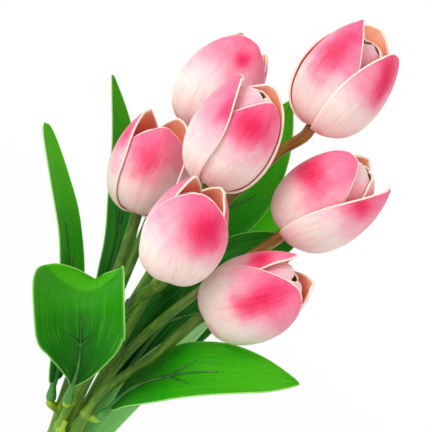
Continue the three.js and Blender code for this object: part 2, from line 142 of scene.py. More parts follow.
INNER_PROFILE = [
    (3.9, 1.6), (8, 4.0), (12.2, 8.6), (15.6, 15), (17.5, 23), (17.5, 30.5), (15.4, 38.5),
    (11.4, 45.4), (6.6, 50), (1.8, 52),
]

# Leaves
BLADE_THICKNESS = 0.7
BLADE_HALF_WIDTH = 20
BLADE_TIP_HALF_WIDTH = 0.5
BLADE_WIDEST_AT = 0.42
BLADE_FULLNESS = 0.9
FOLD_POWER = 0.8  # below 1 the fold is sharper at the midrib
DIRECTION_REACH = 0.012  # share of a blade's length over which its direction is taken
EDGE_RUFFLE = 0.8
EDGE_RUFFLES = (2, 5)  # how often the ruffle changes across and along a blade
EDGE_SEED = 5.3
PLEATS = 11  # on each half of a blade
PLEAT_DEPTH = 0.09
PLEATED_BESIDE = 0.1  # share of the half width beside the midrib over which they start
PLEATED_FROM = 11  # half width of a blade at which its pleats have their full depth
FOLD_HIGHLIGHT_WIDTH = 0.05  # share of the length over which the painted highlight along a fold's crest fades in
# how much paler the painted highlight past a fold makes the blade
FOLD_HIGHLIGHT_PALER = 0.3
RIB_FROM = 0.02
RIB_REACH = 0.62
RIB_RADIUS = 1.45
RIB_TIP_RADIUS = 0.45
RIB_THINNING = 0.7  # below 1 the rib thins early
RIB_SUNK = 0.35  # share of its radius that the rib's middle stands above the blade
STALK_BEND = 1  # room for the bend between the socket and the blade
STALK_TONES = 0.3  # share of the rib's run of colours that the stalk takes
VEIN_START = 0.36
VEIN_REACH = 0.15
VEIN_SPREAD = 0.42
VEIN_CURVE = 1.2  # above 1 a vein bends away from the midrib
VEIN_RADIUS = 0.75
VEIN_TIP_RADIUS = 0.25
VEIN_SUNK = 0.3
VEIN_TONE = 0.6  # where a vein starts in the rib's run of colours
VEIN_TONES = 0.3

# How finely the pieces are meshed
STEM_SIDES = 20
STEM_STEP = 2.4
PEG_ROWS = 26
PEG_SIDES = 14
PIN_SIDES = 16
BOSS_SIDES = 24
STALK_ROWS = 12
RIB_ROWS = 40
FINE_RIB_ROWS = 90
VEIN_ROWS = 12
VEIN_SIDES = 10
TIE_SIDES = 120
TIE_EDGE_STEPS = 4
PETAL_ROWS = 44
PETAL_COLUMNS = 36
INNER_ROWS = 30
INNER_COLUMNS = 24
BLADE_ROWS = 96
BLADE_COLUMNS = 72
RIM_STEPS = 4


@dataclass
class Petal:
    """How one outer petal differs from the others."""
    reach: float = 1.0  # share of the full length
    lift: float = 0.0  # how far its tip stands out
    point: float = 2.0  # 2 is a round tip, 1 a pointed one
    wave: float = 0.35  # unevenness of the rim
    crease: float = 0.0  # depth of the groove along its middle
    spot: tuple = (0.0, 0.72)  # middle of the crimson patch, across and along
    spread: tuple = (9, 8)  # its half width and half length
    deep: float = 1.0  # how strong it is


@dataclass
class Flower:
    """A stem and the head on it."""
    slot: float  # compass direction of its place in the tie, None in the middle
    base: tuple
    axis: tuple
    size: float  # against the profile
    bud: float  # height of the bud inside, against its profile
    way: list  # places of the stem between the tie and the head
    turn: float  # where the middle of its first petal faces
    order: int  # 1 where the petals follow anticlockwise, -1 where clockwise
    full: float  # share of their length up to which the petals keep their full width
    petals: list
    brown: float = 0.04  # how brown its stem is below the head


@dataclass
class Leaf:
    """A blade on its stalk, plugged onto a peg of a stem."""
    stem: str
    height: float  # of the peg on the stem
    arm: float  # compass direction of the peg
    cup: float  # how far its edges bend up, or down if it is negative
    broad: float  # its width, against the usual one
    slim: float  # above 1 it is slimmer towards its ends
    way: list  # places of its middle line past the socket
    across: list  # the direction across it, at its foot and at its tip
    widest: float = BLADE_WIDEST_AT
    bright: float = 0.5  # from deep green to fresh green
    fold: float = 0.7  # how far the halves rise beside the midrib
    painted_highlight_from: float = 1.1  # share of the length from which a blade that folds back gets a paler painted highlight along and past its fold


FLOWERS = {
    "a": Flower(
        115, (-40.4, 42, 243.9), (-0.02, 0.14, 0.99), 0.97, 0.95,
        [(-9, 15, 116), (-25, 34, 176)], -77, 1, 0.4, [
            Petal(0.98, 1, spot=(0.13, 0.8), spread=(6, 7)),
            Petal(0.97, spot=(-0.9, 0.81), spread=(5, 10), deep=0.9),
            Petal(1.0, spot=(0.2, 0.75), deep=0.3),
        ]),
    "b": Flower(
        None, (-16.7, -15, 236.2), (-0.1, -0.17, 0.98), 0.96, 1, [(-6, -2, 122)], 176, -1, 0.45, [
            Petal(0.99, 1, spot=(0.9, 0.78), spread=(7, 12), deep=0.8),
            Petal(1.0, 0, spot=(-0.8, 0.8), deep=0.6),
            Petal(0.95, 0, spot=(-0.3, 0.8), spread=(11, 11)),
        ]),
    "c": Flower(
        55, (7.6, 6, 285), (-0.03, -0.02, 1), 1, 0.93,
        [(-1, 8, 123), (-8, 10, 194), (-2, 10, 238), (3, 8, 266)], -12, 1, 0.25, [
            Petal(0.91, 1, spot=(-0.25, 0.8), spread=(9, 15)),
            Petal(1.0, 4, spot=(0, 0.7), deep=0.6),
            Petal(1.0, 1, 1.3, spot=(0.36, 0.68), spread=(10, 18), deep=0.9),
        ], brown=1),
    "d": Flower(
        175, (-36.2, 15, 198), (-0.33, -0.1, 0.94), 0.9, 0.88,
        [(-13, 6, 110), (-27, 14, 170)], 150, -1, 0.45, [
            Petal(1.0, 0, spot=(0.8, 0.75), spread=(5, 11), deep=0.65),
            Petal(0.98, 0, spot=(0.4, 0.93), spread=(8, 9), deep=0.8),
            Petal(0.93, 0, crease=0.45, spot=(-0.1, 0.66), spread=(12, 17), deep=0.8),
        ]),
    "e": Flower(
        235, (-6, -40, 193.2), (-0.17, -0.24, 0.95), 0.88, 0.92,
        [(-6, -9, 109), (-11, -20, 150), (-9, -31, 175)], -65, 1, 0.5, [
            Petal(0.98, 0.5, spot=(0.36, 0.74), spread=(12, 14)),
            Petal(0.98, 0, spot=(-0.95, 0.84), spread=(6, 10), deep=0.9),
            Petal(1.0, 0, spot=(-0.6, 0.77), spread=(8, 9), deep=0.8),
        ]),
    "f": Flower(
        355, (28.6, 2, 236.1), (0.25, -0.11, 0.96), 0.97, 1,
        [(2, 2, 127), (4, 1, 152), (12, 1, 186)], -30, -1, 0.25, [
            Petal(1.0, 4, 1.4, spot=(-0.9, 0.79), spread=(9, 8), deep=0.9),
            Petal(0.95, 0, spot=(-0.06, 0.64), spread=(18, 11)),
            Petal(0.97, 0, spot=(0, 0.75), deep=0.5),
        ], brown=1),
    "g": Flower(
        295, (22.6, -20, 185.7), (0.46, -0.22, 0.86), 0.94, 0.97,
        [(4, -8, 94), (5, -13, 123), (14, -18, 153)], -92, -1, 0.3, [
            Petal(0.96, 1.5, spot=(-0.22, 0.7), spread=(9, 15)),
            Petal(0.98, 0, spot=(0.6, 0.77), spread=(9, 7), deep=0.95),
            Petal(1.0, 0, spot=(0.9, 0.85), spread=(5, 8), deep=0.7),
        ]),
}

LEAVES = {
    "1": Leaf("d", 96, -150, 2, 0.62, 0.45,
              [(-29, -3, 128), (-43, 1, 152), (-59, 4, 171), (-81, 4, 192), (-98, 4, 207)],
              [(0.26, 0.93, 0.12), (0.26, 0.93, 0.12)], bright=0.75),
    "2": Leaf("a", 127, 140, 3, 0.62, 1,
              [(-29, 37, 155), (-39, 44, 176), (-51, 47, 195), (-70, 48, 219), (-89, 45, 240)],
              [(0.45, 0.85, 0.3), (0.45, 0.85, 0.3)], bright=0.6),
    "3": Leaf("e", 106, -100, 13, 1.06, 0.65,
              [(-13, -27, 128), (-19.5, -34, 141.5), (-25, -40, 151), (-27.5, -42, 156),
               (-30, -37.5, 158.5), (-31, -28, 161), (-31.5, -19, 165)],
              [(0.78, 0.1, 0.62), (0.75, 0.1, 0.66)], 0.7, bright=0.25, fold=1.5, painted_highlight_from=0.82),
    "4": Leaf("g", 106, 5, 2, 1, 1,
              [(16, -19, 134), (24, -27, 149), (35, -34, 163), (54, -35, 177), (76, -27, 186)],
              [(0.14, -0.77, -0.45), (0.14, -0.77, -0.45)], bright=0.65),
    "5": Leaf("f", 58, 10, 2, 0.44, 1.1,
              [(15, 1, 84), (13, 2, 97), (13, 2, 111), (15, 3, 128), (18, 2, 148), (22, -2, 167),
               (26, -4, 180)],
              [(-0.9, 0.4, 0.2), (-0.9, 0.2, 0.3)], bright=0.9),
    "6": Leaf("c", 176, 120, -2, 0.9, 1,
              [(-10, 27, 196), (-6, 29, 211), (-2, 30, 230), (-3, 30, 256), (-8, 30, 286)],
              [(0.98, 0.1, 0), (0.98, 0.1, 0)], bright=0.6),
    # Leaf 7 lies in the shade under the heads: its darkest green, bright 0, is painted shade.
    "7": Leaf("c", 104, 50, -2, 0.95, 0.8,
              [(8, 14, 127), (8, 16, 142), (9, 17, 158), (14, 17, 181), (21, 16, 212), (36, 17, 234)],
              [(0.92, -0.06, -0.28), (0.92, -0.06, -0.28)], 0.35, bright=0.0),
    "8": Leaf("a", 150, 40, -2, 0.8, 1,
              [(-1, 41, 171), (6, 48, 191), (15, 52, 211), (21, 52, 232), (28, 48, 252)],
              [(0.95, 0, -0.2), (0.95, 0, -0.2)], bright=0.95),
}
BARE_PEG = ("e", 91, -70)

# The part's frame has its origin below the middle of the bunch: the tie says how far it was moved.
tie_low, tie_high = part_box("tie")
SHIFT = np.array((tie_low + tie_high) / 2) / MM - np.array([*TIE_CENTRE, TIE_HEIGHT])


# Camera

VIEW_HEIGHT = 222  # height of the point that the camera looks at
VIEW_SIDE = -3.3  # its place across, from the bunch's own axis
VIEW_DISTANCE = 800
VIEW_DOWN = math.radians(10)
VIEW_ROLL = math.radians(37)
VIEW_SPAN = 210.4  # width of the picture at that distance
SENSOR = 36


def camera_axes():
    """The picture's right and up, and the way that the camera looks."""
    forward = Vector((0, math.cos(VIEW_DOWN), -math.sin(VIEW_DOWN)))
    level = Vector((1, 0, 0))
    above = level.cross(forward)
    right = level * math.cos(VIEW_ROLL) + above * math.sin(VIEW_ROLL)
    up = above * math.cos(VIEW_ROLL) - level * math.sin(VIEW_ROLL)
    return right, up, forward


def add_camera():
    right, up, forward = camera_axes()
    target = Vector((VIEW_SIDE, 0, VIEW_HEIGHT)) + Vector(SHIFT)
    camera = bpy.data.objects.new("camera", bpy.data.cameras.new("camera"))
    bpy.context.scene.collection.objects.link(camera)
    turn = Matrix((right, up, -forward)).transposed().to_4x4()
    camera.matrix_world = Matrix.Translation((target - forward * VIEW_DISTANCE) * MM) @ turn
    camera.data.sensor_width = SENSOR
    camera.data.lens = SENSOR * VIEW_DISTANCE / VIEW_SPAN
    camera.data.clip_start = 0.01
    bpy.context.scene.camera = camera


add_camera()


# Lines and frames

def unit(v):
    v = np.asarray(v, float)
    return v / np.linalg.norm(v, axis=-1, keepdims=True)


def compass(degrees):
    return np.array([math.cos(math.radians(degrees)), math.sin(math.radians(degrees)), 0])


def smoothstep(x):
    x = np.clip(x, 0, 1)
    return x * x * (3 - 2 * x)


def smooth_line(points, centripetal=True, steps=40):
    """Many points on the smooth curve through the given ones."""
    points = np.asarray(points, float)
    first = 2 * points[0] - points[1] if centripetal else points[0]
    last = 2 * points[-1] - points[-2] if centripetal else points[-1]
    padded = np.vstack([first, points, last])
    line = [points[:1]]
    t = np.linspace(0, 1, steps + 1)[1:, None]
    for p0, p1, p2, p3 in zip(padded, padded[1:], padded[2:], padded[3:]):
        d0, d1, d2 = [
            np.linalg.norm(b - a) ** 0.5 if centripetal else 1.0
            for a, b in ((p0, p1), (p1, p2), (p2, p3))
        ]
        m1 = ((p1 - p0) / d0 - (p2 - p0) / (d0 + d1) + (p2 - p1) / d1) * d1
        m2 = ((p2 - p1) / d1 - (p3 - p1) / (d1 + d2) + (p3 - p2) / d2) * d1
        if not centripetal:
            m1, m2 = (p2 - p0) / 2, (p3 - p1) / 2
        squared = -3 * p1 + 3 * p2 - 2 * m1 - m2
        cubed = 2 * p1 - 2 * p2 + m1 + m2
        line.append(p1 + m1 * t + squared * t**2 + cubed * t**3)
    return np.vstack(line)


class Line:
    """A line that is read by the share of its length."""

    def __init__(self, points):
        self.points = np.asarray(points, float)
        steps = np.linalg.norm(np.diff(self.points, axis=0), axis=1)
        self.length = steps.sum()
        self.shares = np.concatenate([[0], np.cumsum(steps)]) / self.length

    def at(self, share):
        share = np.asarray(share, float)
        return np.stack([np.interp(share, self.shares, column) for column in self.points.T], axis=-1)

    def along(self, share, reach=0.004):
        share = np.asarray(share, float)
        return unit(self.at(np.clip(share + reach, 0, 1)) - self.at(np.clip(share - reach, 0, 1)))

    def share_at_height(self, height):
        return float(np.interp(height, self.points[:, 2], self.shares))


def sides_along(directions, start=(1, 0, 0)):
    """For each direction of a line, two directions square to it that turn as little as can be."""
    side = np.asarray(start, float)
    pairs = []
    for along in directions:
        side = unit(side - along * np.dot(side, along))
        pairs.append((side, np.cross(along, side)))
    return pairs


# Meshes

FRONT, BACK, RIM = range(3)  # places of a sheet's materials
PLAIN = (0, 0, 0)  # marks where the material reads none


class Shape:
    """Vertices, faces and marks of one piece. A mark is three numbers that its material reads."""

    def __init__(self):
        self.vertices = []
        self.marks = []
        self.faces = []
        self.looks = []

    def add_points(self, points, marks):
        start = sum(len(block) for block in self.vertices)
        self.vertices.append(np.reshape(points, (-1, 3)))
        self.marks.append(np.reshape(marks, (-1, 3)))
        return start

    def add_faces(self, faces, look):
        self.faces.extend(faces)
        self.looks.extend([look] * len(faces))

    def rings(self, rings, marks, look=0, open_start=False, open_end=False):
        """A tube of rings of equal count, with a flat face at each end that isn't open."""
        rings = np.asarray(rings, float)
        count, sides = rings.shape[:2]
        marks = np.broadcast_to(np.asarray(marks, float)[:, None, :], rings.shape)
        start = self.add_points(rings, marks)
        index = start + np.arange(count * sides).reshape(count, sides)
        after = np.roll(index, -1, axis=1)
        quads = np.stack([index[:-1], after[:-1], after[1:], index[1:]], axis=-1)
        self.add_faces(quads.reshape(-1, 4).tolist(), look)
        if not open_start:
            self.add_faces([index[0][::-1].tolist()], look)
        if not open_end:
            self.add_faces([index[-1].tolist()], look)
        return index

    def tube(self, points, radii, marks, sides=STEM_SIDES, look=0, **ends):
        """A round tube along a line of points."""
        points = np.asarray(points, float)
        directions = unit(np.gradient(points, axis=0))
        turn = np.linspace(0, 2 * math.pi, sides, endpoint=False)
        rings = [
            point + radius * (np.cos(turn)[:, None] * side + np.sin(turn)[:, None] * other)
            for point, radius, (side, other) in zip(points, radii, sides_along(directions))
        ]
        return self.rings(rings, marks, look, **ends)

    def shell(self, middle, thickness, marks):
        """A sheet with a round rim: front, back and rim have their own looks."""
        rows, columns = middle.shape[:2]
        down = np.gradient(middle, axis=0)
        across = np.gradient(middle, axis=1)
        out = unit(np.cross(across, down))
        half = thickness / 2
        front = self.add_points(middle + out * half, marks)
        back = self.add_points(middle - out * half, marks)
        index = np.arange(rows * columns).reshape(rows, columns)
        corners = [index[:-1, :-1], index[:-1, 1:], index[1:, 1:], index[1:, :-1]]
        quads = np.stack(corners, axis=-1).reshape(-1, 4)
        self.add_faces((quads + front).tolist(), FRONT)
        self.add_faces((quads[:, ::-1] + back).tolist(), BACK)
        self.rim(middle, out, half, marks, index + front, index + back)

    def rim(self, middle, out, half, marks, front, back):
        """The half round that joins the front and back of a sheet all round its edge."""
        rows, columns = middle.shape[:2]
        loop = [(0, c) for c in range(columns)] + [(r, columns - 1) for r in range(1, rows)]
        loop += [(rows - 1, c) for c in range(columns - 2, -1, -1)]
        loop += [(r, 0) for r in range(rows - 2, 0, -1)]
        r, c = np.array(loop).T
        line = middle[r, c]
        ahead = np.roll(line, -1, axis=0) - np.roll(line, 1, axis=0)
        outward = unit(np.cross(ahead, out[r, c]))
        rim_marks = np.reshape(marks, (rows, columns, 3))[r, c]
        strips = [front[r, c]]
        for step in range(1, RIM_STEPS):
            angle = math.pi * step / RIM_STEPS
            ring = line + half * (math.cos(angle) * out[r, c] + math.sin(angle) * outward)
            strips.append(self.add_points(ring, rim_marks) + np.arange(len(loop)))
        strips.append(back[r, c])
        for upper, lower in zip(strips, strips[1:]):
            faces = np.stack([upper, lower, np.roll(lower, -1), np.roll(upper, -1)], axis=-1)
            self.add_faces(faces.tolist(), RIM)

    def piece(self, name, materials, body, node=None):
        """Makes the object, in metres, riding on its body and standing for its CAD node."""
        mesh = bpy.data.meshes.new(name)
        vertices = (np.vstack(self.vertices) + SHIFT) * MM
        mesh.from_pydata(vertices.tolist(), [], self.faces)
        for material in materials:
            mesh.materials.append(material)
        mesh.polygons.foreach_set("material_index", self.looks)
        mesh.polygons.foreach_set("use_smooth", [True] * len(self.faces))
        marks = mesh.attributes.new("marks", "FLOAT_VECTOR", "POINT")
        marks.data.foreach_set("vector", np.vstack(self.marks).astype(np.float32).ravel())
        mesh.update()
        obj = bpy.data.objects.new(name, mesh)
        bpy.context.scene.collection.objects.link(obj)
        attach(obj, body)
        if node:
            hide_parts(node)
        return obj


# Materials

def colour(code):
    """Linear colour of a six-figure screen colour."""
    values = [int(code[i:i + 2], 16) / 255 for i in (1, 3, 5)]
    return (*[v / 12.92 if v <= 0.04045 else ((v + 0.055) / 1.055) ** 2.4 for v in values], 1)


class Paint:
    """A material and short ways to add nodes to it. Arguments are sockets or plain values."""

    def __init__(self, name, **surface):
        self.material = bpy.data.materials.new(name)
        self.material.use_nodes = True
        self.tree = self.material.node_tree
        self.surface = self.tree.nodes["Principled BSDF"]
        for socket, value in surface.items():
            self.surface.inputs[socket.replace("_", " ")].default_value = value

    def node(self, kind, *inputs, output=0, **settings):
        node = self.tree.nodes.new("ShaderNode" + kind)
        for name, value in settings.items():
            setattr(node, name, value)
        for place, value in enumerate(inputs):
            if isinstance(value, bpy.types.NodeSocket):
                self.tree.links.new(value, node.inputs[place])
            elif value is not None:
                node.inputs[place].default_value = value
        return node.outputs[output]

    def math(self, operation, a, b=0.0, c=0.0):
        return self.node("Math", a, b, c, operation=operation)

    def span(self, value, low, high):
        """0 below low, 1 above high, smooth between."""
        node = self.tree.nodes.new("ShaderNodeMapRange")
        node.interpolation_type = "SMOOTHSTEP"
        self.tree.links.new(value, node.inputs["Value"])
        node.inputs["From Min"].default_value = low
        node.inputs["From Max"].default_value = high
        return node.outputs["Result"]

    def marks(self):
        vector = self.node("Attribute", attribute_name="marks", output="Vector")
        split = self.tree.nodes.new("ShaderNodeSeparateXYZ")
        self.tree.links.new(vector, split.inputs[0])
        return split.outputs

    def vector(self, x, y, z):
        return self.node("CombineXYZ", x, y, z)

    def place(self):
        return self.node("TexCoord", output="Object")

    def own(self, times):
        """A number that differs from piece to piece."""
        return self.math("MULTIPLY", self.node("ObjectInfo", output="Random"), times)

    def on_sheet(self, across, along, times_across, times_along, times_own):
        """A place for noise that follows a piece's own directions and differs between pieces."""
        return self.vector(
            self.math("MULTIPLY", across, times_across), self.math("MULTIPLY", along, times_along),
            self.own(times_own))

    def stirred(self, value, noise, amount):
        """A value that a noise moves up and down."""
        return self.math("MULTIPLY_ADD", self.math("SUBTRACT", noise, 0.5), amount, value)

    def noise(self, vector, scale, detail=3.0, roughness=0.55):
        node = self.tree.nodes.new("ShaderNodeTexNoise")
        self.tree.links.new(vector, node.inputs["Vector"])
        node.inputs["Scale"].default_value = scale
        node.inputs["Detail"].default_value = detail
        node.inputs["Roughness"].default_value = roughness
        return node.outputs["Fac"]

    def ramp(self, value, stops):
        """A colour that runs through the stops: pairs of place and colour."""
        node = self.tree.nodes.new("ShaderNodeValToRGB")
        self.tree.links.new(value, node.inputs[0])
        steps = node.color_ramp.elements
        stops = list(stops)
        while len(steps) < len(stops):
            steps.new(0.5)
        for step, (place, code) in zip(steps, stops):
            step.position = place
            step.color = colour(code)
        return node.outputs[0]

    def mix(self, share, a, b):
        """From colour a to colour b."""
        node = self.tree.nodes.new("ShaderNodeMix")
        node.data_type = "RGBA"
        for socket, value in zip((node.inputs[0], node.inputs[6], node.inputs[7]), (share, a, b)):
            if isinstance(value, bpy.types.NodeSocket):
                self.tree.links.new(value, socket)
            elif isinstance(value, str):
                socket.default_value = colour(value)
            else:
                socket.default_value = value
        return node.outputs[2]

    def tint(self, tone, code, share, amount):
        """A tone with up to the given amount of another colour."""
        return self.mix(self.math("MULTIPLY", share, amount), tone, code)

    def two_reliefs(self, coarse, fine, coarse_share):
        """The relief of two noises."""
        return self.math(
            "ADD", self.math("MULTIPLY", coarse, coarse_share),
            self.math("MULTIPLY", fine, 1 - coarse_share))

    def bump(self, height, depth):
        """Relief of the given depth in metres."""
        node = self.tree.nodes.new("ShaderNodeBump")
        node.inputs["Distance"].default_value = depth
        node.inputs["Strength"].default_value = 1.0
        self.tree.links.new(height, node.inputs["Height"])
        self.tree.links.new(node.outputs[0], self.surface.inputs["Normal"])

    def finish(self, base):
        self.tree.links.new(base, self.surface.inputs["Base Color"])
        return self.material


def petal_outside():
    """Cream foam, sprayed pink from the middle up, with a soft crimson patch."""
    paint = Paint(
        "petal_outside", Roughness=0.58, Specular_IOR_Level=0.3, Subsurface_Weight=0.25,
        Subsurface_Scale=0.003, Subsurface_Radius=(1.0, 0.45, 0.4))
    across, along, spot = paint.marks()
    place = paint.place()
    clouds = paint.noise(place, 75, 3)
    mottle = paint.noise(place, 520, 4, 0.7)
    streaks = paint.noise(paint.on_sheet(across, along, 12, 3.5, 40), 1.6, 4, 0.6)
    spray = paint.ramp(paint.stirred(along, clouds, 0.34), [
        (0.0, "#ee7685"), (0.08, "#f3a5a5"), (0.18, "#f6d5cb"), (0.4, "#f8e2da"), (0.54, "#f8c3ca"),
        (0.68, "#f79cb0"), (0.84, "#f57c9b"), (1.0, "#f2678c")])
    spray = paint.tint(spray, "#fdf0ea", paint.span(mottle, 0.52, 0.72), 0.14)
    spray = paint.tint(spray, "#ef5c80", paint.span(streaks, 0.5, 0.7), 0.24)
    uneven = paint.stirred(spot, clouds, 0.5)
    spray = paint.tint(spray, "#f6447a", paint.span(uneven, 0.02, 0.75), 0.85)
    grainy = paint.stirred(paint.stirred(uneven, streaks, 0.5), mottle, 0.15)
    spray = paint.tint(spray, "#e4084c", paint.span(grainy, 0.35, 1.05), 0.95)
    paint.bump(paint.two_reliefs(streaks, paint.noise(place, 900, 2), 0.6), 0.0003)
    return paint.finish(spray)


def petal_inside():
    """The inner side: red deep inside, salmon towards the rim."""
    paint = Paint(
        "petal_inside", Roughness=0.66, Specular_IOR_Level=0.3, Subsurface_Weight=0.4,
        Subsurface_Scale=0.003)
    across, along, _ = paint.marks()
    clouds = paint.noise(paint.place(), 120, 3)
    tone = paint.ramp(paint.stirred(along, clouds, 0.12), [
        (0.0, "#fb4a4e"), (0.45, "#ff605c"), (0.72, "#ff8a70"), (0.88, "#ffb08a"), (1.0, "#ffcfaa")])
    streaks = paint.noise(paint.on_sheet(across, along, 18, 1, 30), 2, 3)
    tone = paint.tint(tone, "#ffab92", paint.span(streaks, 0.45, 0.7), 0.25)
    paint.bump(streaks, 0.0002)
    return paint.finish(tone)


def inner_outside():
    """The bud's petals: pale, washed with pink."""
    paint = Paint(
        "inner_petal_outside", Roughness=0.6, Specular_IOR_Level=0.35, Subsurface_Weight=0.35,
        Subsurface_Scale=0.003)
    across, along, _ = paint.marks()
    streaks = paint.noise(paint.on_sheet(across, along, 10, 2, 30), 1.6, 4)
    clouds = paint.noise(paint.place(), 110, 3)
    tone = paint.ramp(paint.stirred(along, clouds, 0.3), [
        (0.0, "#f6cdbe"), (0.4, "#fb5c82"), (0.64, "#ff86a2"), (0.82, "#ffb0be"), (1.0, "#ffe2de")])
    tone = paint.tint(tone, "#f4527c", paint.span(streaks, 0.45, 0.7), 0.25)
    paint.bump(streaks, 0.00025)
    return paint.finish(tone)


def cut_edge():
    """The cut rim of a petal, where the foam shows without paint."""
    paint = Paint("petal_cut_edge", Roughness=0.75)
    grain = paint.noise(paint.place(), 700, 3)
    tone = paint.mix(grain, "#f6dfc6", "#fdf3e4")
    paint.bump(grain, 0.0001)
    return paint.finish(tone)


def stem_plastic():
    """Olive green plastic, yellow-green at its mouldings. Some stems turn brown towards the head."""
    paint = Paint("stem_plastic", Roughness=0.4)
    brown, along, moulding = paint.marks()
    place = paint.place()
    lengthwise = paint.node("Mapping", place, None, None, (1, 1, 0.25))
    streaks = paint.noise(lengthwise, 330, 4)
    clouds = paint.noise(place, 60, 3)
    level = paint.stirred(along, clouds, 0.12)
    tone = paint.ramp(level, [
        (0.0, "#9cc01c"), (0.25, "#7fa80e"), (0.42, "#5f9006"), (0.6, "#437603"), (0.84, "#3a6a02"),
        (1.0, "#466c04")])
    tone = paint.tint(tone, "#8f5a12", paint.span(level, 0.72, 0.92), brown)
    tone = paint.tint(tone, "#9cc030", paint.span(streaks, 0.45, 0.7), 0.3)
    tone = paint.tint(tone, "#2c5400", paint.span(streaks, 0.5, 0.25), 0.35)
    tone = paint.tint(tone, "#98bd18", moulding, 0.75)
    paint.bump(paint.two_reliefs(streaks, paint.noise(place, 500, 2), 0.7), 0.0003)
    return paint.finish(tone)


def leaf_look(name, deep, fresh, vein):
    """Pressed green sheet with fine lengthwise veins. Deep and fresh are each a ramp of colours."""
    paint = Paint(name, Roughness=0.42, Specular_IOR_Level=0.15)
    across, along, bright = paint.marks()
    clouds = paint.noise(paint.place(), 32, 3)
    level = paint.stirred(along, clouds, 0.4)
    places = (0.05, 0.45, 0.9)
    # The third mark is the leaf's green level; past the fold of a blade that folds back it also carries
    # a painted highlight.
    tone = paint.mix(
        bright, paint.ramp(level, zip(places, deep)), paint.ramp(level, zip(places, fresh)))
    veins = paint.noise(paint.on_sheet(across, along, 30, 1.1, 30), 2.4, 2, 0.5)
    tone = paint.tint(tone, vein, paint.span(veins, 0.58, 0.68), 0.3)
    tone = paint.tint(tone, deep[0], paint.span(veins, 0.42, 0.3), 0.28)
    tone = paint.tint(tone, vein, paint.span(paint.math("ABSOLUTE", across), 0.95, 1.0), 0.25)
    paint.bump(paint.two_reliefs(veins, paint.noise(paint.place(), 1100, 2), 0.8), 0.0003)
    return paint.finish(tone)


def rib_plastic():
    """Darker green moulded stalk and midrib."""
    paint = Paint("rib_plastic", Roughness=0.4)
    around, along, _ = paint.marks()
    streaks = paint.noise(paint.on_sheet(around, along, 4, 5, 20), 2, 4)
    tone = paint.ramp(along, [(0.0, "#3f8a2c"), (0.3, "#2c7a1c"), (0.7, "#155c0a"), (1.0, "#1c6c08")])
    tone = paint.tint(tone, "#62a840", paint.span(streaks, 0.45, 0.7), 0.3)
    paint.bump(streaks, 0.0002)
    return paint.finish(tone)


def wire_steel():
    """Drawn steel."""
    paint = Paint("wire_steel", Roughness=0.35, Metallic=1.0)
    grain = paint.noise(paint.node("Mapping", paint.place(), None, None, (1, 1, 0.05)), 2500, 2)
    paint.bump(grain, 0.00003)
    return paint.finish(paint.mix(grain, "#7f8184", "#b9bbbe"))


def tie_rubber():
    """Pale elastic band."""
    paint = Paint("tie_rubber", Roughness=0.5)
    grain = paint.noise(paint.place(), 800, 3)
    paint.bump(grain, 0.00015)
    return paint.finish(paint.mix(grain, "#c9cbb4", "#e6e6d6"))


PETAL_LOOKS = [petal_outside(), petal_inside(), cut_edge()]
INNER_LOOKS = [inner_outside(), petal_inside(), cut_edge()]
STEM_LOOKS = [stem_plastic()]
LEAF_LOOKS = [
    leaf_look(
        "leaf_upper", deep=("#013c01", "#065a01", "#127a02"),
        fresh=("#0e7c00", "#2cb400", "#54ce04"), vein="#7cd838"),
    leaf_look(
        "leaf_under", deep=("#2f8a2c", "#4fa840", "#62b84c"),
        fresh=("#6fc45c", "#8fd878", "#aee69a"), vein="#c4f0b4"),
    leaf_look(
        "leaf_edge", deep=("#3c9a24", "#56ae34", "#70c044"),
        fresh=("#66bc3c", "#86d058", "#a4e078"), vein="#c4ee9c"),
]
RIB_LOOKS = [rib_plastic()]
TIE_LOOKS = [tie_rubber()]


# Stems

def stem_line(flower):
    middle = np.array([*TIE_CENTRE, 0.0])
    side = np.zeros(3) if flower.slot is None else compass(flower.slot)
    slot = middle + side * SLOT_CIRCLE
    foot = middle + side * FOOT_SPREAD
    axis = unit(flower.axis)
    base = np.array(flower.base, float)

    def at_height(place, height):
        return np.array([place[0], place[1], height])

    return Line(smooth_line([
        at_height(foot + side * STEM_RADIUS, -2 * STEM_RADIUS),
        at_height(slot + (foot - slot) * KNEE_SPREAD, TIE_HEIGHT * KNEE_HEIGHT),
        at_height(slot, TIE_HEIGHT - STRAIGHT_AT_TIE),
        at_height(slot, TIE_HEIGHT),
        at_height(slot, TIE_HEIGHT + STRAIGHT_AT_TIE),
        *flower.way,
        base - axis * NECK_LENGTH,
        base - axis * FIT,
    ]))


STEM_LINES = {name: stem_line(flower) for name, flower in FLOWERS.items()}


def peg_place(stem, height, arm):
    """Where a peg stands: its root on the stem's middle line, the stem's direction, and its elbow."""
    line = STEM_LINES[stem]
    share = line.share_at_height(height)
    along = line.along(share)
    side = compass(arm)
    side = unit(side - along * np.dot(side, along))
    root = line.at(share)
    return root, along, side, root + side * ARM_LENGTH


def leaf_start(leaf):
    """The direction of a leaf's peg, and the place on it where the leaf's socket starts."""
    elbow = peg_place(leaf.stem, leaf.height, leaf.arm)[3]
    along = unit(np.array(leaf.way[0]) - elbow)
    return along, elbow + along * (BULB_RADIUS + FIT)


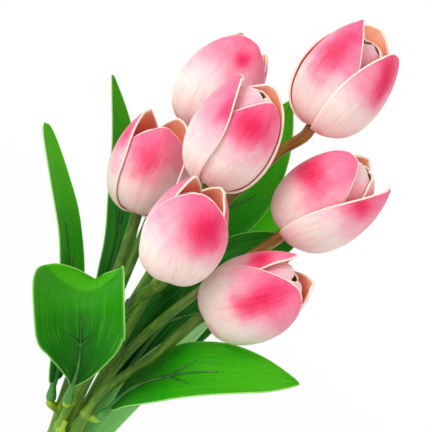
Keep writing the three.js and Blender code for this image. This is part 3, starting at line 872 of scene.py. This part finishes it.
def add_peg(shape, stem, height, arm, direction=None, length=PEG_LENGTH):
    """A short curved arm out of the stem with a swelling at its elbow, and the peg on it."""
    root, along, side, elbow = peg_place(stem, height, arm)
    direction = along if direction is None else direction
    peg_from = BULB_RADIUS + FIT
    line = Line(smooth_line([
        root - along * ARM_DROP,
        root + side * ARM_OUT - along * ARM_DROP / 2,
        elbow - side * ELBOW_ROUND,
        elbow + direction * ELBOW_RISE,
        elbow + direction * (peg_from + PEG_FOOT),
        elbow + direction * (peg_from + length),
    ]))
    share = np.linspace(0, 1, PEG_ROWS)
    past_elbow = share * line.length - (line.length - peg_from - length)
    swell = np.exp(-((past_elbow / BULB_LENGTH) ** 2))
    thin = smoothstep((past_elbow - PEG_THINS_FROM) / PEG_THINS_OVER)
    radii = ARM_RADIUS + (BULB_RADIUS - ARM_RADIUS) * swell - (ARM_RADIUS - PEG_RADIUS) * thin
    radii[-1] *= PEG_TIP
    moulding = smoothstep(share / ARM_PALES_OVER)
    share_up = STEM_LINES[stem].share_at_height(height)
    marks = np.stack([np.zeros_like(share), np.full_like(share, share_up), moulding], axis=-1)
    shape.tube(line.at(share), radii, marks, sides=PEG_SIDES)


def add_stem(name, flower):
    line = STEM_LINES[name]
    shape = Shape()
    share = np.linspace(line.share_at_height(0), 1, int(line.length / STEM_STEP))
    below_head = (1 - share) * line.length
    radii = NECK_RADIUS + (STEM_RADIUS - NECK_RADIUS) * smoothstep(below_head / NECK_TAPER)
    moulding = np.zeros_like(share)
    pegs = [(leaf.height, leaf.arm, leaf_start(leaf)[0], PEG_LENGTH)
            for leaf in LEAVES.values() if leaf.stem == name]
    if BARE_PEG[0] == name:
        pegs.append((BARE_PEG[1], BARE_PEG[2], None, BARE_PEG_LENGTH))
    for height, arm, direction, length in pegs:
        gap = np.abs(share - line.share_at_height(height)) * line.length
        collar = 1 - smoothstep((gap - COLLAR_LENGTH / 2) / COLLAR_FLANK + 0.5)
        radii = radii + (COLLAR_RADIUS - STEM_RADIUS) * collar
        moulding = np.maximum(moulding, COLLAR_PALE * collar)
        add_peg(shape, name, height, arm, direction, length)
    ripple = [
        STEM_RIPPLE * noise.noise(Vector((at * STEM_RIPPLES, ord(name), 0))) for at in share
    ]
    marks = np.stack([np.full_like(share, flower.brown), share, moulding], axis=-1)
    index = shape.tube(line.at(share), radii + ripple, marks, open_start=True)
    close_foot(shape, index, line)
    add_spigot(shape, flower)
    shape.piece(f"stem_{name}_moulding", STEM_LOOKS, stem_body(name), f"stem_{name}")


def close_foot(shape, index, line):
    """The cut end: flat on the floor, with the blind bore that the wire sits in."""
    start = line.share_at_height(0)
    along = line.along(start)
    outer = shape.vertices[-1][:STEM_SIDES]
    outer -= along * (outer[:, 2:] / along[2])
    centre = line.at(start)
    inner = centre + (outer - centre) * (WIRE_RADIUS + FIT) / STEM_RADIUS
    deep = inner + line.at(start + BORE_DEPTH / line.length) - centre
    marks = np.tile([0, start, FOOT_PALE], (2 * STEM_SIDES, 1))
    first = shape.add_points(np.vstack([inner, deep]), marks)
    rings = [index[0], first + np.arange(STEM_SIDES), first + STEM_SIDES + np.arange(STEM_SIDES)]
    for near, far in zip(rings, rings[1:]):
        faces = np.stack([near, far, np.roll(far, -1), np.roll(near, -1)], axis=-1)
        shape.add_faces(faces.tolist(), 0)
    shape.add_faces([rings[-1].tolist()], 0)


def add_spigot(shape, flower):
    """The pin on the stem's tip, inside the head."""
    base = np.array(flower.base, float)
    axis = unit(flower.axis)
    points = [base + axis * at for at in (-PIN_ROOT, 0, PIN_LENGTH - PIN_TIP_LENGTH, PIN_LENGTH)]
    radii = [PIN_RADIUS, PIN_RADIUS, PIN_RADIUS, PIN_TIP_RADIUS]
    shape.tube(points, radii, [(0, 1, 0)] * len(points), sides=PIN_SIDES)


def stem_body(name):
    return "root" if FLOWERS[name].slot is None else f"flower_{name}"


# Heads

def head_turn(flower):
    return np.array(Vector((0, 0, 1)).rotation_difference(Vector(flower.axis)).to_matrix())


def sized(profile, across, up):
    """A profile at the head's own size. The first point stays, because it meets the boss."""
    return [profile[0]] + [(radius * across, height * up) for radius, height in profile[1:]]


def crimson_patch(petal, points, share, length):
    """How strong the crimson patch is at each point of a petal of the given length."""
    rows, columns = share.shape
    row = round(petal.spot[1] * (rows - 1))
    column = round((petal.spot[0] + 1) / 2 * (columns - 1))
    away = np.linalg.norm(points - points[row, column], axis=-1)
    along = (share - share[row, column]) * length
    across = np.sqrt(np.maximum(away**2 - along**2, 0))
    reach = (across / petal.spread[0]) ** 2 + (along / petal.spread[1]) ** 2
    return petal.deep * np.exp(-(reach**SPOT_FALL))


def petal_middle(profile, petal, middle, lean, half_angle, full_to, laps, lap, rows, columns, seed):
    """Middle surface of a petal in the head's own frame, and its marks."""
    line = Line(smooth_line([(*point, 0) for point in profile], centripetal=False))
    v, u = np.meshgrid(np.linspace(0, 1, rows + 1), np.linspace(-1, 1, columns + 1), indexing="ij")
    drop = PETAL_TIP_DROP * v**4
    at_edge = v * (1 - drop)
    share = v * (1 - drop * np.abs(u) ** petal.point) * petal.reach
    past_full = np.clip((at_edge - full_to) / (1 - full_to), 0, 1)
    half = half_angle * np.sqrt(1 - past_full**PETAL_TIP_ROUNDNESS)
    rim = np.vectorize(
        lambda a, b: noise.noise(Vector((a * RIM_SCALE, b * RIM_SCALE, seed * RIM_SEED))))(u, v)
    near_rim = np.abs(u) ** 3 * np.sin(math.pi * v) ** 0.5
    half = half + petal.wave * RIM_WAVE * rim * near_rim
    angle = np.radians(middle + half * u - lean * share)
    place = line.at(share)
    slope = line.along(share)
    side = smoothstep(np.abs(u) / PETAL_LAP_FROM)
    offset = lap * side * np.where(u < 0, laps[0], laps[1])
    offset = offset + DENT_DEPTH * rim * (1 - side)
    groove = np.exp(-((u / CREASE_WIDTH) ** 2)) * smoothstep((CREASE_TO - v) / CREASE_FADE)
    offset = offset - petal.crease * groove
    offset = offset + petal.wave * rim * v**2
    radius = place[..., 0] + offset * slope[..., 1] + petal.lift * share**2
    height = place[..., 1] - offset * slope[..., 0]
    points = np.stack([radius * np.cos(angle), radius * np.sin(angle), height], axis=-1)
    patch = crimson_patch(petal, points, share, line.length)
    return points, np.stack([u, share, patch], axis=-1)


def add_head(name, flower):
    body = f"head_{name}"
    turn = head_turn(flower)
    base = np.array(flower.base, float)
    profile = sized(HEAD_PROFILE, flower.size, flower.size)
    for index, petal in enumerate(flower.petals):
        pair = PETAL_LAPS[index][::flower.order]
        middle = flower.turn + flower.order * PETAL_STEP * index
        points, marks = petal_middle(
            profile, petal, middle, flower.order * PETAL_LEAN, PETAL_HALF_ANGLE, flower.full,
            pair, PETAL_LAP, PETAL_ROWS, PETAL_COLUMNS, ord(name) + index)
        shape = Shape()
        shape.shell(points @ turn.T + base, PETAL_THICKNESS, marks)
        node = f"petal_{name}{index + 1}"
        shape.piece(f"{node}_foam", PETAL_LOOKS, body, node)
    add_inner_petals(name, flower, body, turn, base)


def add_inner_petals(name, flower, body, turn, base):
    """The three petals of the bud, lapping round each other, on the boss that holds the spigot."""
    shape = Shape()
    profile = sized(INNER_PROFILE, flower.size, flower.size * flower.bud)
    for index, pair in enumerate(PETAL_LAPS):
        petal = Petal(reach=1 - BUD_STEP * index, wave=BUD_WAVE)
        middle = flower.turn + PETAL_STEP / 2 + flower.order * PETAL_STEP * index
        points, marks = petal_middle(
            profile, petal, middle, 0, INNER_HALF_ANGLE, INNER_FULL_TO,
            pair[::flower.order], INNER_LAP, INNER_ROWS, INNER_COLUMNS, ord(name) + BUD_SEED + index)
        shape.shell(points @ turn.T + base, INNER_THICKNESS, marks)
    heights = (0, BOSS_FOOT_EDGE, BOSS_HEIGHT - BOSS_TOP_EDGE, BOSS_HEIGHT)
    boss = [base + unit(flower.axis) * height for height in heights]
    radii = [BOSS_RADIUS - BOSS_FOOT_EDGE, BOSS_RADIUS, BOSS_RADIUS, BOSS_RADIUS - BOSS_TOP_EDGE]
    shape.tube(boss, radii, [PLAIN] * len(boss), sides=BOSS_SIDES, look=RIM)
    shape.piece(f"inner_petals_{name}_foam", INNER_LOOKS, body, f"inner_petals_{name}")


# Leaves

def half_width(share, leaf):
    """Half width of a blade: slim at the stalk, pointed at the tip."""
    power = leaf.widest / (1 - leaf.widest)
    rise = (share / leaf.widest) ** power * ((1 - share) / (1 - leaf.widest))
    grown = (BLADE_HALF_WIDTH - BLADE_TIP_HALF_WIDTH) * rise ** (BLADE_FULLNESS * leaf.slim)
    return (BLADE_TIP_HALF_WIDTH + grown) * leaf.broad


class Blade:
    """The middle surface of a leaf's blade."""

    def __init__(self, leaf):
        self.leaf = leaf
        along, mouth = leaf_start(leaf)
        root = mouth + along * (SOCKET_LENGTH + FIT)
        self.line = Line(smooth_line([root, *leaf.way]))

    def frame(self, share):
        share = np.asarray(share, float)
        along = self.line.along(share, DIRECTION_REACH)
        first, last = np.array(self.leaf.across[0]), np.array(self.leaf.across[1])
        across = first + (last - first) * share[..., None]
        across = unit(across - along * np.sum(across * along, axis=-1, keepdims=True))
        return self.line.at(share), across, np.cross(across, along)

    def point(self, share, column, stand=0.0):
        """A place on the blade, or standing off its upper side."""
        place, across, out = self.frame(share)
        half = half_width(share, self.leaf)
        raised = self.leaf.cup * column**2 * half / BLADE_HALF_WIDTH
        rise = self.leaf.fold * np.sin(math.pi * share) ** 0.5
        raised = raised + rise * np.abs(column) ** FOLD_POWER * np.sign(self.leaf.cup)
        return place + across * (column * half)[..., None] + out * (raised + stand)[..., None]


def add_leaf(name, leaf):
    body = f"leaf_{name}"
    blade = Blade(leaf)
    share, column = np.meshgrid(
        np.linspace(0, 1, BLADE_ROWS + 1), np.linspace(-1, 1, BLADE_COLUMNS + 1), indexing="ij")
    often_across, often_along = EDGE_RUFFLES
    uneven = np.vectorize(lambda a, b: noise.noise(
        Vector((a * often_across, b * often_along, int(name) * EDGE_SEED))))(column, share)
    beside_midrib = smoothstep(np.abs(column) / PLEATED_BESIDE)
    broad_enough = smoothstep(half_width(share, leaf) / PLEATED_FROM)
    pleats = PLEAT_DEPTH * np.cos(column * 2 * math.pi * PLEATS) * beside_midrib * broad_enough
    edge = EDGE_RUFFLE * uneven * column**2
    middle = blade.point(share, column, pleats + edge)
    shape = Shape()
    # Past the fold the mark turns paler: a painted highlight where the bend catches the light.
    bright = leaf.bright + FOLD_HIGHLIGHT_PALER * smoothstep((share - leaf.painted_highlight_from) / FOLD_HIGHLIGHT_WIDTH)
    shape.shell(middle, BLADE_THICKNESS, np.stack([column, share, bright], axis=-1))
    shape.piece(f"leaf_{name}_sheet", LEAF_LOOKS, body, f"leaf_{name}")
    add_rib(name, leaf, blade, body)


def add_rib(name, leaf, blade, body):
    """The stalk with its socket, the midrib along the blade, and two side veins."""
    along, mouth = leaf_start(leaf)
    shape = Shape()
    stand = BLADE_THICKNESS / 2
    share = np.linspace(RIB_FROM, RIB_REACH, RIB_ROWS)
    thinned = smoothstep(share / RIB_REACH) ** RIB_THINNING
    radii = RIB_RADIUS - (RIB_RADIUS - RIB_TIP_RADIUS) * thinned
    on_blade = blade.point(share, np.zeros_like(share), stand + RIB_SUNK * radii)
    stalk_steps = np.linspace(0, SOCKET_LENGTH - STALK_BEND, STALK_ROWS)
    stalk = np.array([mouth + along * at for at in stalk_steps])
    taper = smoothstep(np.linspace(*SOCKET_TAPER_RUN, STALK_ROWS))
    stalk_radii = SOCKET_RADIUS - SOCKET_TAPER * taper
    stalk_radii[0] -= SOCKET_LIP
    points = np.vstack([stalk, on_blade])
    up_blade = (share - RIB_FROM) / (RIB_REACH - RIB_FROM)
    reach = np.concatenate([
        np.linspace(0, STALK_TONES, STALK_ROWS), STALK_TONES + (1 - STALK_TONES) * up_blade])
    line = Line(smooth_line(points, steps=3))
    fine = np.linspace(0, 1, FINE_RIB_ROWS)
    shares = Line(points).shares
    fine_radii = np.interp(fine, shares, np.concatenate([stalk_radii, radii]))
    marks = [(0, mark, 0) for mark in np.interp(fine, shares, reach)]
    shape.tube(line.at(fine), fine_radii, marks, sides=PEG_SIDES)
    step = np.linspace(0, 1, VEIN_ROWS)
    radii = VEIN_RADIUS - (VEIN_RADIUS - VEIN_TIP_RADIUS) * step
    for side in (-1, 1):
        vein = VEIN_START + VEIN_REACH * step
        column = side * VEIN_SPREAD * step**VEIN_CURVE
        points = blade.point(vein, column, stand + VEIN_SUNK * radii)
        marks = [(0, VEIN_TONE + VEIN_TONES * at, 0) for at in step]
        shape.tube(points, radii, marks, sides=VEIN_SIDES)
    shape.piece(f"leaf_rib_{name}_moulding", RIB_LOOKS, body, f"leaf_rib_{name}")


# Tie

def add_tie():
    """A flat elastic band with rounded edges."""
    inner = SLOT_CIRCLE + STEM_RADIUS + FIT
    section = []
    middle = inner + TIE_THICKNESS / 2
    for corner, (way_out, way_up) in enumerate([(1, -1), (1, 1), (-1, 1), (-1, -1)]):
        for step in range(TIE_EDGE_STEPS + 1):
            angle = math.radians(90 * (corner - 1 + step / TIE_EDGE_STEPS))
            radius = middle + way_out * (TIE_THICKNESS / 2 - TIE_EDGE_RADIUS)
            height = way_up * (TIE_WIDTH / 2 - TIE_EDGE_RADIUS)
            section.append((
                radius + TIE_EDGE_RADIUS * math.cos(angle), height + TIE_EDGE_RADIUS * math.sin(angle)))
    rings = []
    for turn in np.linspace(0, 2 * math.pi, TIE_SIDES, endpoint=False):
        out = compass(math.degrees(turn))
        rings.append([
            np.array([*TIE_CENTRE, TIE_HEIGHT + height]) + out * radius for radius, height in section])
    shape = Shape()
    rings.append(rings[0])
    shape.rings(rings, [PLAIN] * len(rings), open_start=True, open_end=True)
    obj = shape.piece("tie_band_ring", TIE_LOOKS, "root", "tie")
    weld = obj.modifiers.new("weld", "WELD")
    weld.merge_threshold = 1e-6


for key, flower in FLOWERS.items():
    add_stem(key, flower)
    add_head(key, flower)
for key, leaf in LEAVES.items():
    add_leaf(key, leaf)
add_tie()

steel = wire_steel()
for key in FLOWERS:
    wire_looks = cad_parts[f"wire_{key}"].data.materials
    wire_looks.clear()
    wire_looks.append(steel)


# Floor, light and world

FLOOR_REACH = 6.0  # metres from the middle to each side
SHADOW_NEAR = 0.3  # metres from the object at which the floor's shadow starts to fade
SHADOW_FAR = 1.2
SHADOW_SHOWN = 0.1  # how much of the lit floor shows through the white
WORLD_LIGHT = 0.75


def add_floor():
    """A pale floor that shows white, with a faint shadow near the object."""
    corners = [(-1, -1), (1, -1), (1, 1), (-1, 1)]
    mesh = bpy.data.meshes.new("floor")
    mesh.from_pydata([(x * FLOOR_REACH, y * FLOOR_REACH, 0) for x, y in corners], [], [(0, 1, 2, 3)])
    floor = bpy.data.objects.new("floor", mesh)
    bpy.context.scene.collection.objects.link(floor)
    paint = Paint("floor", Roughness=0.9)
    grain = paint.noise(paint.place(), 30, 2)
    paint.finish(paint.mix(grain, "#f2f2f2", "#f6f6f6"))
    glow = paint.node("Emission", (1, 1, 1, 1), 1.0)
    light_path = paint.tree.nodes.new("ShaderNodeLightPath")
    distance = paint.node("VectorMath", paint.place(), operation="LENGTH", output="Value")
    far = paint.span(distance, SHADOW_NEAR, SHADOW_FAR)
    seen = paint.math(
        "MAXIMUM", light_path.outputs["Is Camera Ray"], light_path.outputs["Is Glossy Ray"])
    white = paint.math("MULTIPLY_ADD", far, SHADOW_SHOWN, 1 - SHADOW_SHOWN)
    share = paint.math("MULTIPLY", seen, white)
    blend = paint.node("MixShader", share, paint.surface.outputs[0], glow)
    paint.tree.links.new(blend, paint.tree.nodes["Material Output"].inputs["Surface"])
    mesh.materials.append(paint.material)


def add_world():
    """White where the camera sees it, a plain light level on the object."""
    world = bpy.data.worlds.new("studio")
    bpy.context.scene.world = world
    world.use_nodes = True
    tree = world.node_tree
    background = tree.nodes["Background"]
    path = tree.nodes.new("ShaderNodeLightPath")
    top = tree.nodes.new("ShaderNodeMath")
    top.operation = "MAXIMUM"
    tree.links.new(path.outputs["Is Camera Ray"], top.inputs[0])
    tree.links.new(path.outputs["Is Transmission Ray"], top.inputs[1])
    level = tree.nodes.new("ShaderNodeMapRange")
    level.inputs["To Min"].default_value = WORLD_LIGHT
    level.inputs["To Max"].default_value = 1.0
    tree.links.new(top.outputs[0], level.inputs["Value"])
    background.inputs["Color"].default_value = (1, 1, 1, 1)
    tree.links.new(level.outputs["Result"], background.inputs["Strength"])


def add_lamp(name, place, distance, size, power):
    """A soft square lamp. Its place is right, up and towards the camera, as the picture sees it."""
    right, up, forward = camera_axes()
    way = (right * place[0] + up * place[1] - forward * place[2]).normalized()
    target = Vector((VIEW_SIDE, 0, VIEW_HEIGHT)) + Vector(SHIFT)
    lamp = bpy.data.objects.new(name, bpy.data.lights.new(name, "AREA"))
    bpy.context.scene.collection.objects.link(lamp)
    lamp.data.size = size
    lamp.data.energy = power
    lamp.location = (target + way * distance) * MM
    lamp.rotation_euler = way.to_track_quat("Z", "Y").to_euler()


add_floor()
add_world()
add_lamp("key", place=(-0.55, 0.75, 0.75), distance=1500, size=0.7, power=12)
add_lamp("fill", place=(0.8, -0.1, 0.8), distance=1600, size=1.0, power=4)
bpy.context.scene.view_settings.view_transform = "Standard"
